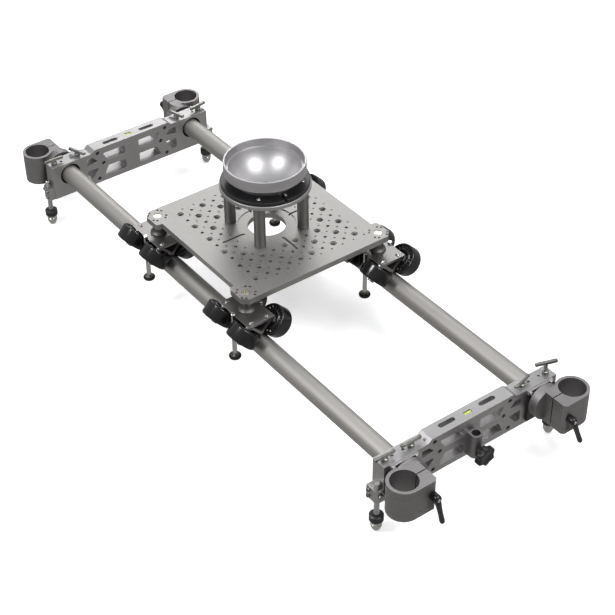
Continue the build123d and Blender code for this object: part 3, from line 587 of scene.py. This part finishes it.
def swept(stations):
    """Rounded arm in the XZ plane through (x, z, radius) stations in millimetres, with closed ends."""
    around = 20
    points = []
    centres = [Vector((x, 0, z)) for x, z, _ in stations]
    for index, (_, _, radius) in enumerate(stations):
        before, after = centres[max(index - 1, 0)], centres[min(index + 1, len(centres) - 1)]
        along = (after - before).normalized()
        side = along.cross(Vector((0, 1, 0))).normalized()
        up = side.cross(along)
        for step in range(around):
            angle = 2 * math.pi * step / around
            point = centres[index] + (side * math.cos(angle) + up * math.sin(angle)) * radius
            points.append(tuple(point * MM))
    return points, skin(len(stations), around)


lever_tilts = {"near_left": 13.0, "near_right": 22.0, "far_left": -12.0, "far_right": 16.0}
lever_hub = [(4.2, 0.35), (7.2, 0.4), (7.8, 1.0), (7.9, 12.0), (7.3, 14.6), (6.0, 16.4), (4.0, 17.3),
             (3.9, 16.2), (0.4, 16.0)]
lever_arm = [(9.5, 1.5, 3.0), (10.5, -1.0, 5.2), (11.4, -5.0, 6.1), (12.0, -11.0, 5.8), (12.2, -20.0, 5.1),
             (12.2, -34.0, 4.6), (12.2, -48.0, 4.6), (12.2, -58.0, 4.9), (12.2, -62.5, 4.6),
             (12.2, -65.0, 3.4), (12.2, -66.1, 1.6), (12.2, -66.3, 0.3)]
for end_name, end in (("near", 1), ("far", -1)):
    for side_name in ("left", "right"):
        corner = f"{end_name}_{side_name}"
        wear_material(copied(f"tube_clamp_{corner}", 0.0011, 3), clamp_grey)
        x, y, z = [value / MM for value in joints[f"lever_turn_{corner}"]["pos_m"]]
        hung = Matrix.Translation(Vector((x, y, z)) * MM) @ Matrix.Diagonal((end, 1, 1, 1))
        hung = hung @ Matrix.Rotation(math.radians(lever_tilts[corner]), 4, "X")
        placed = [(swept(lever_arm), hung, lever_black),
                  (turned(lever_hub, 40), standing(x, y, z, (end, 0, 0)), lever_black),
                  (socket_head(3.4, 1.6), standing(x + end * 16, y, z, (end, 0, 0)), bright_steel)]
        hand_over(assembled(f"clamp_lever_{corner}_look", placed, 50.0), f"clamp_lever_{corner}")

# ---- Spigot receivers and star knobs ---------------------------------------------------------
# A cast socket in the middle of each end takes a lighting spigot, locked by a black moulded knob
# with six lobes on a threaded stem.
wear_material(copied("spigot_receivers", 0.0009), clamp_grey)


def lobed(lobes, outer, dip, low, high):
    """Star knob head with soft lobes, rounded front edge and a shallow dished face."""
    def ripple(r, z, angle):
        wave = 0.5 - 0.5 * math.cos(lobes * (angle - math.pi / 2) + math.pi)
        return r - dip * (1 - wave) * min(1.0, (r / outer) ** 3), z
    rings = [(outer * 0.45, low), (outer - 2.4, low), (outer - 0.8, low + 0.8), (outer, low + 2.6),
             (outer, high - 3.4), (outer - 0.7, high - 1.3), (outer - 2.4, high - 0.2), (outer - 4.2, high),
             (outer * 0.42, high - 0.2), (outer * 0.36, high - 0.9), (0.5, high - 0.9)]
    return turned(rings, 100, ripple)


knob_thick = 14
for end_name, end in (("near", 1), ("far", -1)):
    node = f"star_knob_{end_name}"
    front = max(abs(corner.x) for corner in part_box(node)) / MM
    back = front - knob_thick
    _, y, z = [value / MM for value in joints[f"star_knob_turn_{end_name}"]["pos_m"]]
    spot = standing(0, y, z, (end, 0, 0))
    neck = [(9.8, back - 6), (9.8, back - 2), (8.8, back + 0.5)]
    placed = [(lobed(6, 19.9, 4.6, back, front), spot, black_moulded), (turned(neck), spot, black_moulded),
              (thread_rod(4.0, back - 8, back - 4), spot, bright_steel)]
    hand_over(assembled(node + "_look", placed, 50.0), node)

# ---- Levelling feet --------------------------------------------------------------------------
# A threaded rod through each foot bracket, with a rounded bright tip and a black knurled grip.
# The bracket is a rounded silver block under the frame's corner.
grip_black = finish_material("grip_black", (0.035, 0.034, 0.036), (0.075, 0.073, 0.075), (0.3, 0.3, 0.3),
                             (0.3, 0.42), metallic=0.7, speckle=1300.0, edge_width=0.0003)
wear_material(copied("foot_brackets", 0.0007), frame_silver)
grip_low, grip_high, rod_top = 22, 38, 109
foot_tip = [(3.9, 0.0), (6.0, 1.8), (7.9, 4.9), (9.2, 8.2), (9.7, 10.2), (10.1, 13.5), (10.2, 16.5),
            (9.4, 17.2), (9.4, 18.4), (10.2, 19.1), (10.2, grip_low - 0.1), (5, grip_low - 0.1)]
for end_name, end in (("near", 1), ("far", -1)):
    for side_name, side in (("left", -1), ("right", 1)):
        node = f"levelling_foot_{end_name}_{side_name}"
        spot = standing(end * foot_x, side * foot_y, 0)
        placed = [(turned(foot_tip), spot, bright_steel),
                  (knurled(13, grip_low, grip_high, 44, 0.6, 4, 2.5), spot, grip_black),
                  (thread_rod(4.95, grip_high - 1, rod_top), spot, bright_steel)]
        hand_over(assembled(node + "_look", placed), node)

# ---- Carriage plate --------------------------------------------------------------------------
# Grey anodised cheese plate with an ear at each corner, brushed along the rails, with a grid of
# threaded holes and edges painted bright as a highlight.
plate_grey = finish_material("plate_grey", (0.35, 0.341, 0.327), (0.44, 0.43, 0.416), (0.76, 0.75, 0.73),
                             (0.48, 0.58), fineness=(40, 900, 900), cloud=8.0)
wear_material(copied("carriage_plate", 0.0006), plate_grey)

# ---- Trucks ----------------------------------------------------------------------------------
# Four extruded V brackets under the plate's ears, each on a turned boss. A bright spigot with a
# brass centre comes up through the ear.
bracket_grey = finish_material("bracket_grey", (0.24, 0.232, 0.228), (0.34, 0.33, 0.326), (0.66, 0.65, 0.64),
                               (0.36, 0.48), fineness=(30, 900, 900), cloud=18.0)
boss_grey = finish_material("boss_grey", (0.13, 0.127, 0.123), (0.19, 0.185, 0.18), (0.30, 0.29, 0.28),
                            (0.46, 0.56), fineness=(900, 900, 30), cloud=30.0)
turned_brass = finish_material("turned_brass", (0.60, 0.53, 0.26), (0.74, 0.68, 0.40), (0.85, 0.82, 0.6),
                               (0.22, 0.34), speckle=900.0, edge_width=0.0005)
wear_material(copied("truck_brackets", 0.0006), bracket_grey)
plate_low, plate_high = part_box("carriage_plate")
truck_low, truck_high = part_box("truck_brackets")
ear_low, ear_high = plate_low.z / MM, plate_high.z / MM
truck_top = truck_high.z / MM
truck_half = 47.0
truck_xs = (truck_high.x / MM - truck_half, truck_low.x / MM + truck_half)
truck_places = [(x, side * rail_y) for x in truck_xs for side in (-1, 1)]
boss = [(8, truck_top + 0.02), (15.2, truck_top + 0.02), (15.9, truck_top + 0.6), (15.9, truck_top + 2.6),
        (15.2, truck_top + 3.2), (12.5, truck_top + 6), (11.0, truck_top + 8.5), (11.0, ear_low - 7),
        (12.9, ear_low - 4), (12.9, ear_low - 0.6), (12.3, ear_low - 0.02), (8, ear_low - 0.02)]
spigot = [(7.95, ear_low - 1), (7.95, ear_high - 1.4), (7.5, ear_high - 1.0), (6.0, ear_high - 1.0),
          (5.7, ear_high - 1.6), (5.3, ear_high - 1.6), (5.0, ear_high - 1.0)]
brass_centre = [(5.0, ear_high - 2.5), (5.0, ear_high - 1.1), (4.6, ear_high - 0.7), (2.8, ear_high - 0.7),
                (2.4, ear_high - 1.4), (0.3, ear_high - 1.4)]
boss_parts = []
for x, y in truck_places:
    spot = standing(x, y, 0)
    boss_parts += [(turned(boss), spot, boss_grey), (turned(spigot), spot, bright_steel),
                   (turned(brass_centre), spot, turned_brass)]
hand_over(assembled("truck_bosses", boss_parts), "truck_pivots")

# ---- Wheels ----------------------------------------------------------------------------------
# Sixteen moulded wheels, four to a truck, each ribbed on its faces and running on two ball bearings
# round a plated shoulder bolt.
wheel_black = finish_material("wheel_black", (0.004, 0.004, 0.0045), (0.009, 0.009, 0.010),
                              (0.03, 0.03, 0.03), (0.13, 0.20), metallic=0.0, speckle=1400.0, bump=0.00001,
                              edge_strength=0.0)
wheel_half = 14.0
tread_r = 29.7


def ribs(radius, height, angle):
    """Twenty raised ribs across the hollow of a wheel's face."""
    if 20.4 < radius < 25.2 and abs(height) < wheel_half - 1.5:
        raised = 1.6 if math.cos(20 * angle) > 0.35 else 0.0
        return radius, height + math.copysign(raised, height)
    return radius, height


def mirrored(face):
    """Rings of a face and, going back, of its mirror image on the other side."""
    return face + [(radius, -height) for radius, height in reversed(face)]


face_dips = [(11.06, 2.4), (11.4, 2.0), (13.8, 2.0), (14.4, 1.6), (15.6, 0.3), (16.2, 0), (17.8, 0),
             (18.5, 0.4), (19.8, 2.7), (20.5, 3.0), (22.8, 3.0), (25.1, 3.0), (25.5, 2.6), (26.0, 0.3),
             (26.4, 0), (27.4, 0), (28.4, 0.3), (29.2, 1.1), (29.6, 2.0), (tread_r, 2.9)]
wheel_rings = mirrored([(radius, wheel_half - dip) for radius, dip in face_dips])
bearing_rings = mirrored([(4.2, 6.7), (4.2, 7.0), (6.2, 7.0), (6.4, 6.6), (9.0, 6.6), (9.2, 7.0),
                          (10.95, 7.0), (10.95, 6.4)])
bolt_tail = [(3.0, -27.5), (4.0, -26.6), (4.0, 15.0)]
spacer = [(4.1, -16.8), (6.4, -16.8), (6.45, -16.2), (6.45, -7.7), (6.2, -7.15), (4.1, -7.15)]
axle_parts, bearing_parts = [], []
for node in nodes:
    if not node.startswith("wheel_") or f"{node}_spin" not in joints:
        continue
    spin = joints[f"{node}_spin"]
    spot = standing(*[value / MM for value in spin["pos_m"]], spin["axis"])
    wheel_parts = [(turned(wheel_rings, 120, ribs, closed=True), spot, wheel_black)]
    hand_over(assembled(node + "_look", wheel_parts, 40.0), node)
    bearing_parts.append((turned(bearing_rings, 36, closed=True), spot, bright_steel))
    axle_parts += [(turned(bolt_tail, 24), spot, bright_steel), (turned(spacer, 32), spot, bright_steel),
                   (socket_head(6.5, 5), spot @ Matrix.Translation((0, 0, wheel_half * MM)), worn_zinc)]
hand_over(assembled("wheel_bearing_set", bearing_parts), "wheel_bearings")
hand_over(assembled("shoulder_bolts", axle_parts), "wheel_axles")

# ---- Keeper posts ----------------------------------------------------------------------------
# Steel posts beside the rails, screwed into the trucks. A black disc with a plated washer on each
# hooks under the rail if the carriage lifts.
post_low, post_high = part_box("keeper_posts")
foot = post_low.z / MM
post_top = post_high.z / MM
post = [(4.0, foot + 7), (4.45, foot + 7.4), (4.45, truck_top + 0.2), (4.45, post_top - 0.6), (3.8, post_top)]
washer = [(4.4, foot + 6.2), (7.6, foot + 6.2), (8.2, foot + 6.5), (8.2, foot + 7.6), (7.6, foot + 8.0),
          (4.4, foot + 8.0)]
disc = [(3.0, foot + 1.9), (10.9, foot + 1.9), (11.65, foot + 2.6), (11.65, foot + 4.9), (10.8, foot + 6.3),
        (8.0, foot + 6.9), (3.0, foot + 6.9)]
disc_rim = [(2.0, foot + 0.02), (9.4, foot + 0.02), (10.6, foot + 0.5), (10.8, foot + 1.2),
            (10.6, foot + 1.9), (2.0, foot + 1.9)]
keeper_parts = []
for x, y in truck_places:
    for offset in (-30, 30):
        spot = standing(x, y + offset, 0)
        keeper_parts += [(turned(post, 32), spot, bright_steel), (turned(washer, 40), spot, worn_zinc),
                         (turned(disc, 48), spot, black_anodised), (turned(disc_rim, 48), spot, worn_zinc)]
hand_over(assembled("keeper_post_set", keeper_parts), "keeper_posts")

# ---- Riser and levelling bowl ----------------------------------------------------------------
# Four turned posts carry a ring; a black split ring grips the neck of the turned, satin bowl.
post_grey = finish_material("post_grey", (0.17, 0.165, 0.16), (0.25, 0.242, 0.236), (0.6, 0.6, 0.6),
                            (0.30, 0.42), fineness=(900, 900, 12), cloud=20.0)
wear_material(copied("riser_posts", 0.0004), post_grey)
wear_material(copied("riser_ring", 0.0005), frame_silver)
wear_material(copied("bowl_clamp_ring", 0.0006), black_anodised)
bowl_grey = finish_material("bowl_grey", (0.45, 0.44, 0.448), (0.54, 0.53, 0.538), (0.58, 0.575, 0.58),
                            (0.38, 0.45), fineness=(6, 6, 1500), cloud=10.0, bump=0.000015,
                            edge_strength=0.0)
bowl_low, bowl_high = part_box("levelling_bowl")
bowl_x = (bowl_low.x + bowl_high.x) / 2 / MM
rim = bowl_high.z / MM
lip_low = rim - 15.5
neck_high = rim - 34
ball_r, seat_r, hole_r = 75.0, 69.0, 16.0
ball_z = lip_low + math.sqrt(ball_r ** 2 - seat_r ** 2)
dish_steps = 32
dish = []
for i in range(dish_steps + 1):
    r = hole_r + (seat_r - 0.6 - hole_r) * i / dish_steps
    dish.append((r, ball_z - math.sqrt(ball_r ** 2 - r ** 2)))
under_dish = dish[0][1] - 6
bowl_rings = dish + [(seat_r, lip_low - 0.25), (seat_r + 0.6, lip_low), (73.4, lip_low),
                     (74.0, lip_low + 0.25), (74.3, lip_low + 0.9), (74.3, rim - 1.0), (74.6, rim - 0.35),
                     (75.2, rim), (77.4, rim), (78.0, rim - 0.3), (78.3, rim - 0.9), (78.3, rim - 20.8),
                     (78.0, rim - 21.7), (77.2, rim - 22.3), (70.0, rim - 27.5), (63.0, rim - 32),
                     (60.6, rim - 33.6), (60.0, neck_high - 0.8), (60.0, rim - 36.2), (59.4, rim - 36.6),
                     (59.4, rim - 37.4), (60.0, rim - 37.8), (60.0, bowl_low.z / MM), (46.0, under_dish),
                     (hole_r, under_dish)]
bowl_parts = [(turned(bowl_rings, 160, closed=True), standing(bowl_x, 0, 0), bowl_grey)]
hand_over(assembled("turned_bowl", bowl_parts, 30.0), "levelling_bowl")
ring_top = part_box("bowl_clamp_ring")[1].z / MM
ring_screw_offset, pinch_r, pinch_aside = 50, 70, 6
ring_screws = []
for x in (-ring_screw_offset, ring_screw_offset):
    for y in (-ring_screw_offset, ring_screw_offset):
        ring_screws.append((socket_head(4.0, 3.2), standing(bowl_x + x, y, ring_top - 2.45), bright_steel))
slit = math.radians(-8)
pinch_x = bowl_x + pinch_r * math.cos(slit) - pinch_aside * math.sin(slit)
pinch_y = pinch_r * math.sin(slit) + pinch_aside * math.cos(slit)
ring_screws.append((socket_head(3.0, 2.2), standing(pinch_x, pinch_y, ring_top), bright_steel))
ring_screw_set = assembled("ring_screws", ring_screws)
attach(ring_screw_set, "carriage")
